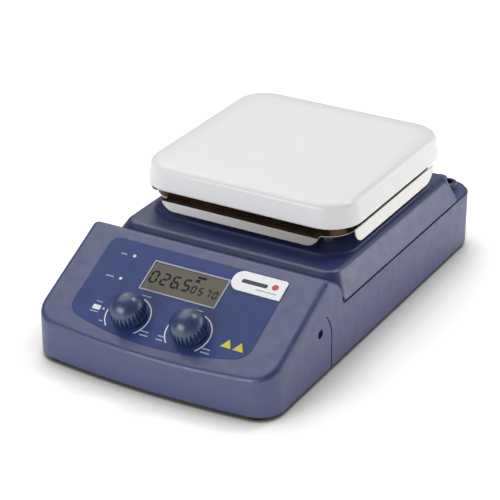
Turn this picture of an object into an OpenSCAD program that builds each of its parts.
// Hotplate magnetic stirrer with a square heated plate and a sloping control console.
// Origin: centre of the footprint on the table. +X is the user's right, -Y the front, +Z up. Millimetres.

/* [Body] */
// Width of the housing
body_w = 204; // [196:1:216]
// Depth of the housing, front face to rear wall
body_d = 352; // [346:1:360]
// Height of the rubber feet
foot_h = 4; // [3:0.5:6]
// Height of the joint between the lower and the upper housing
parting_z = 50; // [48:1:52]
// Wall thickness of the housings
wall = 3; // [2.5:0.5:3.5]
// Plan radius of the front corners
front_corner_r = 20; // [18:1:26]
// Plan radius of the rear corners
rear_corner_r = 20; // [14:1:22]
// Radius of the bowed front face
front_bow_r = 720; // [500:10:1200]

/* [Console] */
// Distance from the front face back to the crest of the console
console_len = 91; // [88:1:93]
// Height of the crest of the console
crest_z = 77.2; // [76:0.2:79]
// Slope of the control panel in degrees
panel_slope = 26.7; // [25:0.1:28]
// Radius of the console's soft edges
console_edge_r = 5; // [3:0.5:7]
// Radius of the hump behind the crest
hump_r = 22; // [20:1:23]
// Width of the control overlay
overlay_w = 152; // [146:1:156]
// Width of the display
display_w = 65; // [60:1:68]
// Height of the display
display_h = 27.6; // [24:0.2:29]
// Radius of the ball-shaped knobs
knob_r = 14; // [13:0.25:14.5]
// Height of the middle of the knobs' ball above the panel
knob_mid = 7.8; // [7:0.2:8.6]

/* [Upper housing] */
// Height of the deck
deck_z = 68.5; // [67.5:0.5:69]
// Depth of the upper housing
deck_d = 208; // [206:1:208]
// Radius of the long edges of the deck
deck_edge_r = 8; // [6:1:9]
// How far the sides of the upper housing lean in
deck_lean = 9; // [7:1:10]
// Size of the raised square pad under the plate
pad_w = 176; // [172:1:178]

/* [Hot plate] */
// Side of the square hot plate
plate_w = 184; // [180:1:186]
// Thickness of the hot plate at its rim
plate_t = 20; // [19:0.5:22]
// Height of the underside of the hot plate
plate_z = 92; // [92:0.5:93]
// Plan radius of the plate's corners
plate_corner_r = 28; // [24:1:32]
// Radius of the plate's top edge
plate_edge_r = 6; // [4:0.5:7]
// How far the plate's sides lean in
plate_draft = 2; // [0:0.5:3]

/* [Hidden] */

body_blue = [0.40, 0.42, 0.56];
overlay_blue = [0.28, 0.34, 0.51];
knob_blue = [0.17, 0.24, 0.42];
ceramic_white = [0.93, 0.93, 0.95];
steel = [0.72, 0.73, 0.74];
pan_brown = [0.16, 0.11, 0.08];
rubber_black = [0.08, 0.08, 0.08];
board_green = [0.10, 0.35, 0.18];
brass_gold = [0.80, 0.62, 0.30];
black_plastic = [0.10, 0.10, 0.11];

$fn = 64;
cut = 1;                  // how far a cutter runs past the face it cuts
half_w = body_w / 2;
half_d = body_d / 2;
floor_z = foot_h + wall;
seam_gap = 1.4;           // open groove between console and lower housing
groove_h = 2;             // height of the shadow groove at the parting joint
groove_depth = 1.8;
rim = 2;                  // how much thicker the wall is at the parting joint

// Front corners and the bowed front face between them.
corner_x = half_w - front_corner_r;
bow_centre_y = front_bow_r - half_d;
corner_y = bow_centre_y - sqrt(pow(front_bow_r - front_corner_r, 2) - pow(corner_x, 2));

// Control panel plane.
crest_y = console_len - half_d;
console_rear_y = crest_y + 25;
seam_r = 33;
seam_z = foot_h + 23;
seam_y = crest_y + 4.4;
seam_top_y = seam_y - seam_r + sqrt(pow(seam_r, 2) - pow(parting_z - seam_z, 2));

// Upper housing and plate.
deck_front_y = console_rear_y;
deck_rear_y = deck_front_y + deck_d;
plate_y = 50;
pad_h = 2;
pad_z = deck_z + pad_h;
plate_top_z = plate_z + plate_t;
shield_z = plate_z - 9.5;
shield_t = 1;
flange_low_z = plate_z - 16;
flange_off = plate_w / 2 - 2;
flange_w = 137;
guard_shift = -4;         // how far the side guards sit in front of the plate's middle
flange_end_r = 12;
window_r = 50;
post_pitch = 62;
post_r = 5;
stud_r = 2.5;
block_r = 79;
block_z = plate_top_z - 12;
skin_t = 6;

// Panel layout: x across, u down the slope from the crest.
knob_u = 73.1;
heat_knob_x = -26.9;
stir_knob_x = 24.6;
overlay_x = -1.4;
display_x = -1.4;
display_u = 34.5;
bezel_w = 1.1;
badge_x = 52.9;
badge_u = 19;
led_x = -51.9;
led_bore_r = 1.3;
board_screw_x = 60;
board_screw_u = [14, 81];
led_u = [22, 44];
overlay_top_u = 9.2;
overlay_low_u = 92.6;
overlay_bow_r = 250;      // radius of the overlay's bowed lower edge
panel_board_z = -16;
board_t = 1.6;
pot_bush_r = 4.5;
shaft_r = 3;
running_gap = 0.05;
control_gap = 0.12;       // radial clearance of a control's shaft in its bushing

// Motor stack.
motor_z = 22;
can_r = 27;
can_top_z = motor_z + 30;
holder_z = 60;
magnet_top_z = pad_z - 1.5;
main_board_z = 14;
rear_recess = 6.5;        // how deep the rear panel sits in the housing
rear_y = half_d - rear_recess;
rear_panel_w = 148;
rear_panel_h = 38;
rear_panel_z = 27;
rod_x = 84.5;
rod_y = 158;
rod_top_z = 56;
rod_hole_r = 4.25;
rod_sleeve_r = 6;

// Heating parts.
element_r = 48;
element_tube_r = 3;
lead_x = 8;               // half the distance between the element's two ends
lead_r = 1.5;
lead_hole_r = 2.5;
sensor_r = 2;
pad_t = 6;

// Bearings, stator and rotor.
bearing_r = 6;
bearing_h = 5;
can_cap_z = can_top_z - bearing_h;
stator_z = motor_z + 10;
stator_h = 11;
rotor_r = 14;
magnet_x = 24;
magnet_r = 9;
magnet_seat = 2;          // how far the magnets' feet stand above the holder's underside

// Rear panel.
inlet_x = -52;
inlet_z = rear_panel_z;
rocker_x = -12;
rocker_z = rear_panel_z;
rocker_y = rear_y - 8;
rocker_r = 11;
serial_x = 26;
serial_z = 28;
socket_x = 62;
socket_z = 28;
socket_r = 8.5;
drawer_w = 22;
drawer_h = 7;
drawer_z = inlet_z - 14;
drawer_gap = 0.15;

// Fixing points.
housing_screw_x = 84;
housing_screw_y = 95;
housing_screw_mid_y = 47;
foot_x = 84;
foot_y = 158;
board_post_x = 70;
board_post_y = 31.5;
board_mid_y = -32.5;
motor_hole = 28;
side_screw_y = crest_y - 13;
side_screw_z = 40;
side_boss_x = half_w - 8.5;
base_screw_x = 40;
base_screw_y = 10 - half_d;

// ---- shared shapes ----

module rounded_rect(w, d, r) {
    square([w - 2 * r, d], center = true);
    square([w, d - 2 * r], center = true);
    for (x = [-1, 1]) for (y = [-1, 1])
        translate([x * (w / 2 - r), y * (d / 2 - r)]) circle(r);
}

module slab(w, d, h, r) {
    linear_extrude(h) rounded_rect(w, d, r);
}

// A cylinder along its own Z with rounded rims, centred.
module pill(r, len, rim_low, rim_high) {
    rotate_extrude($fn = 48) intersection() {
        hull() {
            translate([0, -len / 2]) square([r - max(rim_low, rim_high), len]);
            translate([r - rim_low, rim_low - len / 2]) circle(rim_low, $fn = 32);
            translate([r - rim_high, len / 2 - rim_high]) circle(rim_high, $fn = 32);
        }
        translate([0, -len / 2]) square([r, len]);
    }
}

// Plan of the whole housing, set in from the outside.
module body_plan(inset) {
    front_r = front_corner_r - inset;
    rear_r = rear_corner_r - inset;
    bow_r = front_bow_r - inset;
    touch_x = corner_x * bow_r / (front_bow_r - front_corner_r);
    intersection() {
        translate([0, bow_centre_y]) circle(bow_r, $fn = 720);
        translate([-touch_x, -half_d]) square([2 * touch_x, corner_y + half_d]);
    }
    translate([inset - half_w, corner_y])
        square([body_w - 2 * inset, half_d - rear_corner_r - corner_y]);
    translate([rear_corner_r - half_w, corner_y])
        square([body_w - 2 * rear_corner_r, half_d - inset - corner_y]);
    for (side = [-1, 1]) {
        translate([side * corner_x, corner_y]) circle(front_r);
        translate([side * (half_w - rear_corner_r), half_d - rear_corner_r]) circle(rear_r);
    }
}

module body_block(inset, low, high) {
    translate([0, 0, low]) linear_extrude(high - low) body_plan(inset);
}

// Everything behind the curved joint between the console and the lower housing, shifted by gap.
module behind_seam(gap) {
    rotate([90, 0, 90]) translate([0, 0, -half_w - cut]) linear_extrude(body_w + 2 * cut) {
        translate([seam_y + gap, -cut]) square([body_d, parting_z + cut]);
        difference() {
            translate([seam_top_y + gap, seam_z]) square([seam_y - seam_top_y + cut, parting_z - seam_z]);
            translate([seam_y - seam_r + gap, seam_z]) circle(seam_r, $fn = 96);
        }
    }
}

// Local frame of the control panel: Y up the slope, Z out of the panel.
module on_panel(x = 0, u = 0, z = 0) {
    translate([0, crest_y, crest_z]) rotate([panel_slope, 0, 0]) translate([x, -u, z]) children();
}

function panel_z(y) = crest_z + (y - crest_y) * tan(panel_slope);

// Outer form of the console, set in from the outside, as one soft convex solid.
module console_form(inset) {
    edge_r = max(console_edge_r - inset, 2);
    drop = (edge_r + inset) / cos(panel_slope);
    corner_in_r = front_corner_r - inset - edge_r;
    bow_in_r = front_bow_r - inset - edge_r;
    side_x = half_w - inset;
    low_z = foot_h - (inset > 0 ? cut : 0);
    hull() {
        for (side = [-1, 1]) {
            translate([side * corner_x, corner_y, low_z])
                cylinder(r = front_corner_r - inset, h = 1, $fn = 64);
            translate([side * (side_x - 1) - 1, console_rear_y - inset - 2, low_z]) cube([2, 2, 1]);
            for (turn = [0 : 15 : 75]) {
                y = corner_y - corner_in_r * sin(turn);
                translate([side * (corner_x + corner_in_r * cos(turn)), y, panel_z(y) - drop])
                    sphere(edge_r, $fn = 32);
            }
            translate([side * (side_x - edge_r), crest_y - inset / 2, panel_z(crest_y - inset / 2) - drop])
                sphere(edge_r, $fn = 32);
        }
        for (x = [-corner_x : corner_x / 4 : corner_x]) {
            y = bow_centre_y - sqrt(pow(bow_in_r, 2) - pow(x, 2));
            translate([x, y, panel_z(y) - drop]) sphere(edge_r, $fn = 32);
            translate([x, y, low_z]) cylinder(r = edge_r, h = 1, $fn = 32);
        }
        translate([0, console_rear_y - hump_r, parting_z]) rotate([0, 90, 0])
            pill(hump_r - inset, 2 * side_x, edge_r, edge_r);
    }
}

// A doughnut; a hull round it leaves an edge that is round in plan and in section.
module round_ring(r, tube_r) {
    rotate_extrude($fn = 48) translate([r, 0]) circle(tube_r, $fn = 24);
}

// Outer form of the upper housing, with rounded long edges, leaning sides and a leaning front.
module deck_form(inset) {
    edge_r = deck_edge_r - inset;
    low_z = parting_z - (inset > 0 ? cut : 0);
    front_y = deck_front_y + inset;
    rear_end_y = deck_rear_y - inset;
    lean = atan(deck_lean / (deck_z - parting_z));
    shoulder_z = deck_z - deck_edge_r;
    shoulder_x = half_w - (shoulder_z - parting_z) * tan(lean) - deck_edge_r / cos(lean);
    front_r = 5 - inset;
    front_turn_r = 7;
    foot_y = front_y - (inset > 0 ? 0 : deck_lean);
    turn_r = 9;
    hull() {
        for (side = [-1, 1]) {
            translate([side * (shoulder_x + 1 - front_turn_r), front_y + front_turn_r + front_r, deck_z - 5])
                round_ring(front_turn_r, front_r);
            translate([side * (shoulder_x - turn_r), rear_end_y - turn_r - edge_r, shoulder_z])
                round_ring(turn_r, edge_r);
            translate([side * (half_w - inset - 12), foot_y + 12, low_z]) cylinder(r = 12, h = 1);
            translate([side * (half_w - inset - 14), rear_end_y - 14, low_z]) cylinder(r = 14, h = 1);
        }
    }
}

// A screw standing on the tip of its thread, head up.
module screw(r, len, head_r, head_h) {
    cylinder(r = r, h = len);
    difference() {
        translate([0, 0, len]) cylinder(r = head_r, h = head_h);
        translate([0, 0, len + head_h / 2]) cylinder(r = head_r / 2, h = head_h, $fn = 6);
    }
}

module at_four(x, y, centre_y = 0) {
    for (sx = [-1, 1]) for (sy = [-1, 1])
        translate([sx * x, centre_y + sy * y, 0]) children();
}

// ---- housings ----

module lower_housing() {
    shelf_y = deck_front_y + 8;
    roof_y = deck_rear_y - 4;
    color(body_blue) difference() {
        union() {
            difference() {
                union() {
                    body_block(0, foot_h, parting_z - groove_h);
                    body_block(groove_depth, parting_z - groove_h, parting_z);
                    intersection() {
                        body_block(0, parting_z - groove_h, parting_z);
                        translate([-body_w, -body_d, 0])
                            cube([2 * body_w, body_d + console_rear_y - 1, body_d]);
                    }
                }
                difference() {
                    union() {
                        body_block(wall, floor_z, parting_z - 3 * rim);
                        body_block(wall + rim, floor_z, parting_z + cut);
                    }
                    translate([-half_w, -half_d, parting_z - wall])
                        cube([body_w, half_d + shelf_y, 3 * wall]);
                    translate([-half_w, roof_y, parting_z - wall]) cube([body_w, body_d, 3 * wall]);
                    translate([-rear_panel_w / 2 - wall, rear_y - wall, 0])
                        cube([rear_panel_w + 2 * wall, body_d, body_d]);
                }
                difference() {
                    translate([-body_w, -body_d, -cut]) cube([2 * body_w, body_d + console_rear_y, body_d]);
                    behind_seam(seam_gap);
                }
            }
            intersection() {
                body_block(wall + 0.4, foot_h, floor_z);
                translate([-half_w, -half_d, 0]) cube([body_w, console_len + 20, 2 * floor_z]);
            }
            for (side = [-1, 1]) {
                translate([side * side_boss_x - 2.5, side_screw_y - 6, foot_h])
                    cube([5, 12, side_screw_z + 2]);
            }
            at_four(housing_screw_x, housing_screw_y, housing_screw_mid_y) translate([0, 0, foot_h])
                cylinder(r = 6.5, h = parting_z - foot_h);
            at_four(foot_x, foot_y) translate([0, 0, foot_h]) cylinder(r = 6, h = 10);
            at_four(board_post_x, board_post_y, board_mid_y) translate([0, 0, foot_h])
                cylinder(r = 3.5, h = main_board_z - foot_h);
            at_four(motor_hole, motor_hole, plate_y) translate([0, 0, foot_h])
                cylinder(r = 5, h = motor_z - 4 - foot_h);
            // Boss round the support rod's socket.
            translate([rod_x, rod_y, parting_z - wall])
                cylinder(r = 7.6, h = rod_top_z - 1 - parting_z + wall);
            translate([rod_x, rod_y, rod_top_z - 1]) rotate_extrude() {
                square([6.6, 1]);
                intersection() {
                    translate([6.6, 0]) circle(1, $fn = 32);
                    square(10);
                }
            }
        }
        // Recess of the rear panel.
        translate([0, rear_y, rear_panel_z]) rotate([-90, 0, 0])
            slab(rear_panel_w, rear_panel_h, rear_recess + cut, 3);
        // Cable opening from the console.
        translate([-30, console_rear_y - 16, parting_z - wall - cut]) cube([60, 12, wall + 2 * cut]);
        at_four(housing_screw_x, housing_screw_y, housing_screw_mid_y) {
            translate([0, 0, foot_h - cut]) cylinder(r = 2.25, h = parting_z);
            translate([0, 0, foot_h - cut]) cylinder(r = 4.2, h = 4.5 + cut);
        }
        at_four(foot_x, foot_y) translate([0, 0, foot_h - cut]) cylinder(r = 2, h = 9 + cut);
        at_four(board_post_x, board_post_y, board_mid_y) translate([0, 0, floor_z])
            cylinder(r = 1.5, h = main_board_z);
        at_four(motor_hole, motor_hole, plate_y) translate([0, 0, floor_z + 2])
            cylinder(r = 1.5, h = motor_z);
        for (side = [-1, 1]) {
            translate([side * side_boss_x, side_screw_y, side_screw_z]) rotate([0, 90, 0])
                cylinder(r = 1.5, h = 12, center = true);
            translate([side * base_screw_x, base_screw_y, foot_h - cut])
                cylinder(r = 1.7, h = wall + 2 * cut);
            translate([side * base_screw_x, base_screw_y, foot_h - cut]) cylinder(r = 3.2, h = 1.5 + cut);
        }
        // Air slots under the motor.
        for (x = [-48 : 12 : 48]) translate([x, plate_y, foot_h - cut]) {
            translate([-2, -12, 0]) cube([4, 24, wall + 2 * cut]);
            for (y = [-12, 12]) translate([0, y, 0]) cylinder(r = 2, h = wall + 2 * cut);
        }
        // Openings in the rear wall.
        translate([inlet_x - 14.5, rear_y - 2 * wall, inlet_z - 15.5]) cube([29, 3 * wall, 31]);
        translate([rocker_x - 8, rear_y - 2 * wall, rocker_z - 12.5]) cube([16, 3 * wall, 25]);
        translate([serial_x - 10, rear_y - 2 * wall, serial_z - 5.5]) cube([20, 3 * wall, 11]);
        translate([socket_x, rear_y + cut, socket_z]) rotate([90, 0, 0])
            cylinder(r = socket_r, h = 2 * wall);
        translate([rod_x, rod_y, parting_z - 2 * wall]) cylinder(r = rod_sleeve_r, h = 30);
    }
}

module front_console() {
    color(body_blue) difference() {
        union() {
            difference() {
                console_form(0);
                console_form(wall);
                behind_seam(0);
            }
            for (side = [-1, 1]) {
                translate([side * (half_w - 4.5), side_screw_y, side_screw_z]) rotate([0, 90, 0])
                    cylinder(r = 6, h = 3, center = true);
                translate([side * base_screw_x, base_screw_y, floor_z])
                    cylinder(r = 4, h = panel_z(base_screw_y) - floor_z - 3.5);
            }
            for (x = [-board_screw_x, board_screw_x]) for (u = board_screw_u)
                on_panel(x, u, panel_board_z + board_t)
                cylinder(r = 3, h = -panel_board_z - board_t - 1.5);
        }
        for (side = [-1, 1]) {
            translate([side * (half_w + cut), side_screw_y, side_screw_z]) rotate([0, -side * 90, 0]) {
                cylinder(r = 1.7, h = 12);
                cylinder(r = 3.6, h = 3.5 + cut);
            }
            translate([side * base_screw_x, base_screw_y, floor_z - cut]) cylinder(r = 1.25, h = 17 + cut);
        }
        for (x = [-board_screw_x, board_screw_x]) for (u = board_screw_u) on_panel(x, u, panel_board_z)
            cylinder(r = 1.1, h = 12);
        // Shallow seat of the overlay, then the openings behind it.
        on_panel(overlay_x, 0, -0.4) linear_extrude(8) overlay_plan(0.15);
        on_panel(display_x, display_u, -2 * wall) translate([-display_w / 2, -display_h / 2, 0])
            cube([display_w, display_h, 4 * wall]);
        for (u = led_u) on_panel(led_x, u, -2 * wall) cylinder(r = 1.6, h = 4 * wall);
        for (x = [heat_knob_x, stir_knob_x]) on_panel(x, knob_u, -2 * wall)
            cylinder(r = pot_bush_r + 0.2, h = 4 * wall);
    }
}

module top_housing() {
    color(body_blue) difference() {
        union() {
            difference() {
                deck_form(0);
                deck_form(wall);
                translate([-body_w, -body_d, 0]) cube([2 * body_w, 2 * body_d, parting_z]);
            }
            translate([0, plate_y, deck_z - 1]) slab(pad_w, pad_w, pad_h + 1, 25);
            at_four(housing_screw_x, housing_screw_y, housing_screw_mid_y) translate([0, 0, parting_z])
                cylinder(r = 6, h = deck_z - parting_z - 2.5);
        }
        // Room for the hump of the console.
        translate([-body_w, console_rear_y - hump_r, parting_z]) rotate([0, 90, 0])
            cylinder(r = hump_r + 0.2, h = 2 * body_w, $fn = 96);
        translate([0, plate_y, deck_z - 2 * wall]) cylinder(r = window_r, h = 4 * wall);
        at_four(post_pitch, post_pitch, plate_y) translate([0, 0, deck_z - 2 * wall])
            cylinder(r = 2.7, h = 4 * wall);
        translate([0, plate_y - post_pitch - 8, deck_z - 2 * wall]) cylinder(r = 4, h = 4 * wall);
        at_four(housing_screw_x, housing_screw_y, housing_screw_mid_y) translate([0, 0, parting_z - cut])
            cylinder(r = 2, h = 11 + cut);
    }
}

// ---- hot plate and what hangs under it ----

module hot_plate() {
    rim_in = plate_w / 2 - plate_corner_r;
    top_r = plate_corner_r - plate_edge_r - plate_draft;
    color(ceramic_white) difference() {
        translate([0, plate_y, plate_z]) hull() for (x = [-1, 1]) for (y = [-1, 1])
            translate([x * rim_in, y * rim_in, 0]) {
                rotate_extrude($fn = 96) hull() {
                    square([plate_corner_r - 1, 1]);
                    translate([0, 1]) square([plate_corner_r, 1]);
                    translate([top_r, plate_t - plate_edge_r]) circle(plate_edge_r, $fn = 32);
                }
            }
        translate([0, plate_y, plate_z - cut]) slab(plate_w - 14, plate_w - 14, plate_t - skin_t + cut, 21);
    }
}

module heater_block() {
    color(steel) translate([0, plate_y, 0]) difference() {
        translate([0, 0, block_z]) slab(2 * block_r, 2 * block_r, plate_top_z - skin_t - block_z, 20);
        translate([0, 0, block_z]) rotate_extrude()
            translate([element_r, 0]) circle(element_tube_r, $fn = 32);
        at_four(post_pitch, post_pitch) translate([0, 0, block_z - cut]) cylinder(r = stud_r, h = 4 + cut);
        translate([0, 0, block_z - cut]) cylinder(r = sensor_r, h = 4 + cut);
    }
}

module heating_element() {
    color([0.35, 0.33, 0.32]) translate([0, plate_y, block_z]) {
        difference() {
            rotate_extrude() translate([element_r, 0]) circle(element_tube_r, $fn = 32);
            translate([-lead_x, -element_r - 5, -5]) cube([2 * lead_x, 10, 10]);
        }
        for (x = [-lead_x, lead_x]) translate([x, -element_r, -element_tube_r - 4])
            cylinder(r = lead_r, h = 4.6);
    }
}

module insulation_pad() {
    color([0.85, 0.82, 0.74]) translate([0, plate_y, block_z - pad_t]) difference() {
        slab(2 * block_r, 2 * block_r, pad_t, 20);
        rotate_extrude() translate([element_r, pad_t]) circle(element_tube_r, $fn = 32);
        for (x = [-lead_x, lead_x]) translate([x, -element_r, -cut]) cylinder(r = lead_r, h = pad_t);
        at_four(post_pitch, post_pitch) translate([0, 0, -cut]) cylinder(r = stud_r, h = pad_t + 2 * cut);
        translate([0, 0, -cut]) cylinder(r = sensor_r, h = pad_t + 2 * cut);
    }
}

module heater_pan() {
    pan_w = plate_w - 15;
    pan_z = shield_z + shield_t;
    color(pan_brown) translate([0, plate_y, pan_z]) difference() {
        slab(pan_w, pan_w, block_z - pan_z, 20.5);
        translate([0, 0, 1.2]) slab(pan_w - 2.4, pan_w - 2.4, plate_t, 19.3);
        at_four(post_pitch, post_pitch) translate([0, 0, -cut]) cylinder(r = stud_r, h = 4);
        translate([0, 0, -cut]) cylinder(r = sensor_r, h = 4);
        for (x = [-lead_x, lead_x]) translate([x, -element_r, -cut]) cylinder(r = lead_hole_r, h = 4);
    }
}

// One flange whose ends sweep up in an arc, hanging from the XY plane.
module flange(w, h) {
    r = max(flange_end_r, h);
    reach = sqrt(pow(r, 2) - pow(r - h, 2));
    rotate([90, 0, 0]) translate([0, 0, -shield_t / 2]) linear_extrude(shield_t) intersection() {
        translate([-w / 2, -h]) square([w, h]);
        union() {
            translate([reach - w / 2, -h]) square([w - 2 * reach, h]);
            for (side = [-1, 1]) translate([side * (w / 2 - reach), r - h]) circle(r);
        }
    }
}

module heat_shield() {
    sheet_w = plate_w - 14;
    color(steel) translate([0, plate_y, 0]) difference() {
        union() {
            translate([0, 0, shield_z]) slab(sheet_w, sheet_w, shield_t, 24);
            translate([-flange_w / 2 + 1, -flange_off, shield_z])
                cube([flange_w - 2, 2 * flange_off, shield_t]);
            for (side = [-1, 1]) translate([0, side * flange_off, shield_z + shield_t])
                flange(flange_w, shield_z + shield_t - flange_low_z);
        }
        at_four(post_pitch, post_pitch) translate([0, 0, shield_z - cut]) cylinder(r = stud_r, h = 4);
        translate([0, 0, shield_z - cut]) cylinder(r = sensor_r, h = 4);
        for (x = [-lead_x, lead_x]) translate([x, -element_r, shield_z - cut])
            cylinder(r = lead_hole_r, h = 4);
    }
}

module side_guards() {
    guard_top_z = plate_z - 3.4;
    color(steel) translate([0, plate_y, 0]) for (side = [-1, 1]) {
        translate([side * flange_off, guard_shift, guard_top_z]) rotate([0, 0, 90])
            flange(flange_w - 1, guard_top_z - flange_low_z);
        for (y = [-45, 0, 45]) translate([side * (flange_off - 10) - 10, y - 8, shield_z - shield_t])
            cube([20, 16, shield_t]);
    }
}

module plate_posts() {
    color(steel) at_four(post_pitch, post_pitch, plate_y) {
        translate([0, 0, pad_z]) cylinder(r = post_r, h = shield_z - pad_z);
        translate([0, 0, shield_z]) cylinder(r = stud_r, h = block_z + 4 - shield_z);
        translate([0, 0, deck_z - 10]) cylinder(r = stud_r, h = pad_z - deck_z + 10);
    }
}

module post_nuts() {
    color(steel) at_four(post_pitch, post_pitch, plate_y)
        translate([0, 0, deck_z - wall - 4]) difference() {
        cylinder(r = 4.6, h = 4, $fn = 6);
        translate([0, 0, -cut]) cylinder(r = stud_r, h = 4 + 2 * cut);
    }
}

module plate_sensor() {
    color(steel) translate([0, plate_y, 0]) {
        translate([0, 0, shield_z - 1]) cylinder(r = sensor_r, h = block_z + 4 - shield_z + 1);
        translate([0, 0, shield_z - 4]) cylinder(r = 4, h = 4);
    }
}

module magnet_window() {
    color(steel) translate([0, plate_y, 0]) difference() {
        union() {
            translate([0, 0, pad_z]) cylinder(r = window_r + 5, h = 0.8, $fn = 96);
            translate([0, 0, pad_z - 4]) cylinder(r = window_r - 0.1, h = 4.4, $fn = 96);
        }
        translate([0, 0, pad_z - 5]) cylinder(r = window_r - 1, h = 5, $fn = 96);
    }
}

// ---- control panel ----

// Outline of the overlay: small radii at the top, wide ones at the ends of the bowed lower edge.
module overlay_plan(grow) {
    top_r = 7;
    low_r = 13;
    side_x = overlay_w / 2 + grow;
    top_y = grow - overlay_top_u;
    bow_y = overlay_bow_r - overlay_low_u;
    low_x = overlay_w / 2 - low_r;
    low_y = bow_y - sqrt(pow(overlay_bow_r - low_r, 2) - pow(low_x, 2));
    touch_x = low_x * (overlay_bow_r + grow) / (overlay_bow_r - low_r);
    translate([-side_x, low_y]) square([2 * side_x, -overlay_top_u - top_r - low_y]);
    translate([-overlay_w / 2 + top_r, low_y]) square([overlay_w - 2 * top_r, top_y - low_y]);
    intersection() {
        translate([0, bow_y]) circle(overlay_bow_r + grow, $fn = 360);
        translate([-touch_x, -2 * overlay_low_u]) square([2 * touch_x, low_y + 2 * overlay_low_u]);
    }
    for (side = [-1, 1]) {
        translate([side * (overlay_w / 2 - top_r), -overlay_top_u - top_r]) circle(top_r + grow);
        translate([side * low_x, low_y]) circle(low_r + grow);
    }
}

module control_overlay() {
    color(overlay_blue) difference() {
        on_panel(overlay_x, 0, -0.4) linear_extrude(0.6) overlay_plan(0);
        on_panel(display_x, display_u, -wall) translate([-display_w / 2, -display_h / 2, 0])
            cube([display_w, display_h, 2 * wall]);
        for (u = led_u) on_panel(led_x, u, -wall) cylinder(r = led_bore_r, h = 2 * wall);
        for (x = [heat_knob_x, stir_knob_x]) on_panel(x, knob_u, -wall)
            cylinder(r = pot_bush_r + 0.2, h = 2 * wall);
    }
}

module display_bezel() {
    color([0.75, 0.76, 0.79]) on_panel(display_x, display_u, -wall) difference() {
        translate([-display_w / 2, -display_h / 2, 0]) cube([display_w, display_h, wall + 0.6]);
        translate([bezel_w - display_w / 2, bezel_w - display_h / 2, -cut])
            cube([display_w - 2 * bezel_w, display_h - 2 * bezel_w, 3 * wall]);
    }
}

module display_module() {
    color([0.50, 0.48, 0.42]) on_panel(display_x, display_u) {
        translate([bezel_w - display_w / 2, bezel_w - display_h / 2, -wall])
            cube([display_w - 2 * bezel_w, display_h - 2 * bezel_w, wall]);
        translate([-display_w / 2 - 3, -display_h / 2 - 3, panel_board_z + board_t])
            cube([display_w + 6, display_h + 6, -panel_board_z - board_t - wall - 0.4]);
    }
    color([0.50, 0.48, 0.42]) on_panel(display_x, display_u, -wall - 0.4)
        translate([bezel_w - display_w / 2, bezel_w - display_h / 2, 0])
            cube([display_w - 2 * bezel_w, display_h - 2 * bezel_w, 0.4]);
}

module led_lenses() {
    color([0.95, 0.96, 0.98]) for (u = led_u) on_panel(led_x, u) {
        translate([0, 0, -wall]) cylinder(r = led_bore_r, h = wall + 0.3);
        intersection() {
            translate([0, 0, -0.9]) sphere(1.7);
            cylinder(r = 1.25, h = 2);
        }
        translate([0, 0, panel_board_z + board_t]) cylinder(r = 2.2, h = -panel_board_z - board_t - wall);
    }
}

module badge() {
    badge_w = 43;
    badge_h = 17.5;
    left_r = 8;
    color([0.94, 0.94, 0.95]) on_panel(badge_x, badge_u, 0.2) linear_extrude(0.8) {
        translate([left_r - badge_w / 2, -badge_h / 2]) square([badge_w - left_r - 2.5, badge_h]);
        translate([-badge_w / 2, left_r - badge_h / 2]) square([badge_w, badge_h - 2 * left_r]);
        translate([0, -badge_h / 2]) square([badge_w / 2, badge_h - 2.5]);
        for (y = [-1, 1]) translate([left_r - badge_w / 2, y * (badge_h / 2 - left_r)]) circle(left_r);
        translate([badge_w / 2 - 2.5, badge_h / 2 - 2.5]) circle(2.5);
    }
}

// A ball-shaped knob with upright flutes cut into it, hollow underneath around its nut.
module knob() {
    flutes = 26;
    flute_w = 1.5;
    flute_in_r = knob_r - 1.25;
    low = 1;
    difference() {
        translate([0, 0, knob_mid]) sphere(knob_r, $fn = 96);
        translate([-knob_r, -knob_r, knob_mid - 2 * knob_r])
            cube([2 * knob_r, 2 * knob_r, 2 * knob_r - knob_mid + low]);
        for (turn = [0 : flutes - 1]) rotate(turn * 360 / flutes)
            translate([flute_in_r, -flute_w / 2, 0]) cube([knob_r, flute_w, 2 * knob_r]);
        cylinder(r = 8, h = 5.5);
        cylinder(r = shaft_r, h = 13);
    }
}

module heat_knob() {
    color(knob_blue) on_panel(heat_knob_x, knob_u) knob();
}

module stir_knob() {
    color(knob_blue) on_panel(stir_knob_x, knob_u) knob();
}

module knob_shaft(x) {
    color(steel) on_panel(x, knob_u, panel_board_z + board_t + 1)
        cylinder(r = shaft_r, h = 13 - panel_board_z - board_t - 1);
}

module heat_knob_shaft() {
    knob_shaft(heat_knob_x);
}

module stir_knob_shaft() {
    knob_shaft(stir_knob_x);
}

module control_pots() {
    color(black_plastic) for (x = [heat_knob_x, stir_knob_x])
        on_panel(x, knob_u, panel_board_z + board_t) difference() {
            union() {
                cylinder(r = 8, h = -panel_board_z - board_t - wall - 0.15);
                cylinder(r = pot_bush_r, h = 4.5 - panel_board_z - board_t);
            }
            translate([0, 0, 1]) cylinder(r = shaft_r + control_gap, h = 30);
        }
}

module pot_nuts() {
    color(steel) for (x = [heat_knob_x, stir_knob_x]) on_panel(x, knob_u, 0.2) difference() {
        cylinder(r = 7, h = 2.3, $fn = 6);
        translate([0, 0, -cut]) cylinder(r = pot_bush_r, h = 4);
    }
}

module display_board() {
    color(board_green) on_panel(0, 0, panel_board_z) difference() {
        translate([-66, -86, 0]) cube([132, 78, board_t]);
        for (x = [-board_screw_x, board_screw_x]) for (u = board_screw_u) translate([x, -u, -cut])
            cylinder(r = 1.25, h = 4);
    }
}

module display_board_screws() {
    color(steel) for (x = [-board_screw_x, board_screw_x]) for (u = board_screw_u)
        on_panel(x, u, panel_board_z) translate([0, 0, 8]) mirror([0, 0, 1]) screw(1.1, 8, 2.4, 1.6);
}

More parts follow.
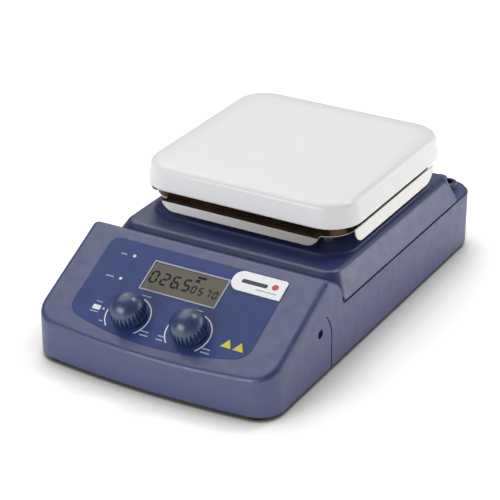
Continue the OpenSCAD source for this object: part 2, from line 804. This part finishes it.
module console_side_screws() {
    color(steel) for (side = [-1, 1])
        translate([side * (half_w - 14), side_screw_y, side_screw_z]) rotate([0, side * 90, 0])
            screw(1.5, 10.5, 3.2, 2);
}

module console_base_screws() {
    color(steel) for (side = [-1, 1])
        translate([side * base_screw_x, base_screw_y, foot_h + 1.5 + 14]) mirror([0, 0, 1])
            screw(1.25, 14, 3, 1.4);
}

// ---- drive ----

module motor_base() {
    color(steel) translate([0, plate_y, motor_z]) difference() {
        union() {
            slab(68, 68, 2, 8);
            cylinder(r = 9, h = 8);
        }
        translate([0, 0, 2]) cylinder(r = bearing_r, h = 8);
        translate([0, 0, -cut]) cylinder(r = shaft_r + 0.5, h = 4);
        at_four(motor_hole, motor_hole) translate([0, 0, -cut]) cylinder(r = 1.7, h = 4);
    }
}

module motor_can() {
    color([0.30, 0.31, 0.33]) translate([0, plate_y, 0]) difference() {
        translate([0, 0, motor_z + 2]) cylinder(r = can_r, h = can_top_z - motor_z - 2);
        translate([0, 0, motor_z + 2 - cut]) cylinder(r = can_r - 2, h = can_cap_z - 2 - motor_z - 2 + cut);
        translate([0, 0, can_cap_z]) cylinder(r = bearing_r, h = 3 * bearing_h);
        translate([0, 0, can_cap_z - 3]) cylinder(r = shaft_r + 0.5, h = 3 * bearing_h);
    }
}

module motor_bearings() {
    color(brass_gold) for (z = [motor_z + 2, can_cap_z]) translate([0, plate_y, z]) difference() {
        cylinder(r = bearing_r, h = bearing_h);
        translate([0, 0, -cut]) cylinder(r = shaft_r + running_gap, h = bearing_h + 2 * cut);
    }
}

module motor_stator() {
    color([0.45, 0.46, 0.48]) translate([0, plate_y, stator_z]) difference() {
        union() {
            difference() {
                cylinder(r = can_r - 2, h = stator_h);
                translate([0, 0, -cut]) cylinder(r = can_r - 5, h = stator_h + 2 * cut);
            }
            for (turn = [0 : 60 : 300]) rotate(turn) translate([rotor_r, -2, 0])
                cube([can_r - 4 - rotor_r, 4, stator_h]);
        }
        translate([0, 0, -cut]) cylinder(r = rotor_r + 0.6, h = stator_h + 2 * cut);
    }
}

module motor_windings() {
    color(brass_gold) translate([0, plate_y, stator_z]) for (turn = [0 : 60 : 300])
        rotate(turn) difference() {
        translate([rotor_r + 2, -3.8, -1.5]) cube([5, 7.6, stator_h + 3]);
        translate([rotor_r, -2, 0]) cube([10, 4, stator_h]);
    }
}

module motor_rotor() {
    color([0.25, 0.25, 0.27]) translate([0, plate_y, stator_z - 0.5]) difference() {
        cylinder(r = rotor_r, h = stator_h + 1);
        translate([0, 0, -cut]) cylinder(r = shaft_r, h = stator_h + 4);
    }
}

module motor_shaft() {
    color(steel) translate([0, plate_y, motor_z + 1]) cylinder(r = shaft_r, h = holder_z + 4 - motor_z - 1);
}

module magnet_holder() {
    color([0.78, 0.79, 0.80]) translate([0, plate_y, 0]) difference() {
        union() {
            translate([0, 0, holder_z - 6]) cylinder(r = 8, h = 7);
            translate([0, 0, holder_z]) cylinder(r = 36, h = 6);
        }
        translate([0, 0, holder_z - 7]) cylinder(r = shaft_r, h = 11);
        for (x = [-magnet_x, magnet_x]) translate([x, 0, holder_z + magnet_seat])
            cylinder(r = magnet_r, h = 6);
    }
}

module magnets() {
    color([0.55, 0.56, 0.58]) for (x = [-magnet_x, magnet_x])
        translate([x, plate_y, holder_z + magnet_seat])
            cylinder(r = magnet_r, h = magnet_top_z - holder_z - magnet_seat);
}

module motor_grommets() {
    color(rubber_black) at_four(motor_hole, motor_hole, plate_y)
        translate([0, 0, motor_z - 4]) difference() {
        cylinder(r = 5, h = 4);
        translate([0, 0, -cut]) cylinder(r = 1.7, h = 4 + 2 * cut);
    }
}

module motor_screws() {
    color(steel) at_four(motor_hole, motor_hole, plate_y) translate([0, 0, motor_z + 2 - 14])
        screw(1.5, 14, 2.8, 1.8);
}

// ---- electronics ----

module main_board() {
    color(board_green) translate([0, board_mid_y, main_board_z]) difference() {
        translate([-76, -36, 0]) cube([152, 72, board_t]);
        at_four(board_post_x, board_post_y) translate([0, 0, -cut]) cylinder(r = 1.7, h = 4);
    }
}

module board_screws() {
    color(steel) at_four(board_post_x, board_post_y, board_mid_y)
        translate([0, 0, main_board_z + board_t - 6]) screw(1.5, 6, 2.8, 1.8);
}

module transformer() {
    color([0.20, 0.21, 0.24]) translate([-42, board_mid_y, main_board_z + board_t]) {
        translate([-18, -15, 0]) cube([36, 30, 22]);
        translate([-12, -20, 3]) cube([24, 40, 16]);
    }
}

module heatsink() {
    color(steel) translate([44, board_mid_y, main_board_z + board_t]) {
        translate([-16, -22, 0]) cube([32, 44, 3]);
        for (x = [-16 : 6 : 14]) translate([x, -22, 3]) cube([2, 44, 20]);
    }
}

module board_parts() {
    color(black_plastic) translate([0, board_mid_y, main_board_z + board_t]) {
        for (y = [-22, 0, 22]) translate([4, y, 0]) cylinder(r = 7, h = 20);
        translate([-70, -22, 0]) cube([6, 44, 9]);
        translate([64, -12, 0]) cube([8, 24, 11]);
    }
}

// ---- rear panel ----

module power_inlet() {
    socket_w = 24;
    socket_h = 16;
    color(black_plastic) difference() {
        union() {
            translate([inlet_x - 14.5, rear_y - 26, inlet_z - 15.5]) cube([29, 26, 31]);
            translate([inlet_x, rear_y + 1.25, inlet_z]) rotate([90, 0, 0]) translate([0, 0, -1.25])
                slab(36, 36, 2.5, 3);
        }
        translate([inlet_x - socket_w / 2, rear_y - 17, inlet_z - 3]) cube([socket_w, 30, socket_h]);
        translate([inlet_x - drawer_w / 2 - drawer_gap, rear_y - 24, drawer_z - drawer_gap])
            cube([drawer_w + 2 * drawer_gap, 30, drawer_h + 2 * drawer_gap]);
    }
}

module inlet_pins() {
    color(steel) for (place = [[-7, 3], [0, 7], [7, 3]])
        translate([inlet_x + place[0] - 1, rear_y - 17, inlet_z + place[1] - 2]) cube([2, 15, 4]);
}

module fuse_drawer() {
    color(black_plastic) difference() {
        union() {
            translate([inlet_x - drawer_w / 2, rear_y - 22, drawer_z]) cube([drawer_w, 25, drawer_h]);
            translate([inlet_x - 4, rear_y + 2, drawer_z + 1]) cube([8, 2, drawer_h - 2]);
        }
        for (x = [-6, 6]) translate([inlet_x + x, rear_y - 2, drawer_z + drawer_h - 3]) rotate([90, 0, 0])
            cylinder(r = 2.6, h = 18);
        for (x = [-6, 6]) translate([inlet_x + x - 2.6, rear_y - 20, drawer_z + drawer_h - 3])
            cube([5.2, 18, 6]);
    }
}

module fuses() {
    color([0.85, 0.85, 0.88]) for (x = [-6, 6])
        translate([inlet_x + x, rear_y - 2, drawer_z + drawer_h - 3]) rotate([90, 0, 0])
            cylinder(r = 2.5, h = 18);
}

module switch_frame() {
    color(black_plastic) {
        difference() {
            union() {
                translate([rocker_x - 8, rear_y - 24, rocker_z - 12.5]) cube([16, 24, 25]);
                translate([rocker_x, rear_y + 1.5, rocker_z]) rotate([90, 0, 0]) slab(21, 30, 1.5, 2);
            }
            translate([rocker_x - 6.6, rear_y - 20, rocker_z - rocker_r - 0.2])
                cube([13.2, 30, 2 * rocker_r + 0.4]);
        }
        translate([rocker_x, rocker_y, rocker_z]) rotate([0, 90, 0])
            cylinder(r = 1.5 - running_gap, h = 14, center = true);
    }
}

// The rocker is part of a cylinder round its own hinge, cut to two faces, so it turns freely.
module power_rocker() {
    tilt = 8;
    color(rubber_black) translate([rocker_x, rocker_y, rocker_z]) rotate([tilt, 0, 0]) difference() {
        rotate([0, 90, 0]) cylinder(r = rocker_r, h = 13, center = true);
        for (side = [-1, 1]) rotate([side * tilt, 0, 0]) translate([-10, 9.5, side > 0 ? 0 : -30])
            cube([20, 20, 30]);
        translate([-10, -20, -20]) cube([20, 17, 40]);
        rotate([0, 90, 0]) cylinder(r = 1.5, h = 20, center = true);
    }
}

module serial_port() {
    color(steel) translate([serial_x, rear_y, serial_z]) rotate([-90, 0, 0]) difference() {
        union() {
            translate([0, 0, 0]) slab(31, 12.5, 1, 2);
            linear_extrude(6) polygon([[-8.5, -4.2], [8.5, -4.2], [7, 4.2], [-7, 4.2]]);
            translate([-9.5, -5.2, -9]) cube([19, 10.4, 9]);
        }
        for (i = [-2 : 2]) translate([i * 2.77, -1.42, 1]) cylinder(r = 0.6, h = 6, $fn = 16);
        for (i = [-1.5 : 1.5]) translate([i * 2.77, 1.42, 1]) cylinder(r = 0.6, h = 6, $fn = 16);
    }
}

module sensor_socket() {
    color(steel) translate([socket_x, rear_y, socket_z]) rotate([-90, 0, 0]) difference() {
        union() {
            cylinder(r = socket_r + 2, h = 2);
            translate([0, 0, -12]) cylinder(r = socket_r, h = 15);
        }
        difference() {
            translate([0, 0, -3]) cylinder(r = socket_r - 1.2, h = 8);
            translate([0, 0, -4]) cylinder(r = socket_r - 2.2, h = 6);
        }
        for (turn = [-90, -45, 0, 45, 90]) rotate(turn - 90) translate([4, 0, -2])
            cylinder(r = 0.8, h = 6, $fn = 16);
    }
}

module rod_socket() {
    depth = 30;
    color(steel) translate([rod_x, rod_y, 0]) difference() {
        union() {
            translate([0, 0, rod_top_z - depth - 3]) cylinder(r = rod_sleeve_r, h = depth + 3);
            translate([0, 0, parting_z - wall - 6]) cylinder(r = 8, h = 6, $fn = 6);
        }
        translate([0, 0, rod_top_z - depth]) cylinder(r = rod_hole_r, h = depth + cut);
    }
}

// ---- fixings and feet ----

module housing_screws() {
    color(steel) at_four(housing_screw_x, housing_screw_y, housing_screw_mid_y)
        translate([0, 0, parting_z + 9]) mirror([0, 0, 1]) screw(2, parting_z + 9 - foot_h - 4.5, 3.8, 3);
}

module rubber_feet() {
    color(rubber_black) at_four(foot_x, foot_y) difference() {
        union() {
            cylinder(r1 = 9, r2 = 10, h = 1.5);
            translate([0, 0, 1.5]) cylinder(r = 10, h = foot_h - 1.5);
        }
        translate([0, 0, -cut]) cylinder(r = 2.1, h = foot_h + 2 * cut);
        translate([0, 0, -cut]) cylinder(r = 4.2, h = 2 + cut);
    }
}

module foot_screws() {
    color(steel) at_four(foot_x, foot_y) translate([0, 0, 12]) mirror([0, 0, 1]) screw(2, 10, 3.8, 1.4);
}

lower_housing();
front_console();
top_housing();
hot_plate();
heater_block();
heating_element();
insulation_pad();
heater_pan();
heat_shield();
side_guards();
plate_posts();
post_nuts();
plate_sensor();
magnet_window();
control_overlay();
display_bezel();
display_module();
led_lenses();
badge();
heat_knob();
stir_knob();
heat_knob_shaft();
stir_knob_shaft();
control_pots();
pot_nuts();
display_board();
display_board_screws();
console_side_screws();
console_base_screws();
motor_base();
motor_can();
motor_bearings();
motor_stator();
motor_windings();
motor_rotor();
motor_shaft();
magnet_holder();
magnets();
motor_grommets();
motor_screws();
main_board();
board_screws();
transformer();
heatsink();
board_parts();
power_inlet();
inlet_pins();
fuse_drawer();
fuses();
switch_frame();
power_rocker();
serial_port();
sensor_socket();
rod_socket();
housing_screws();
rubber_feet();
foot_screws();
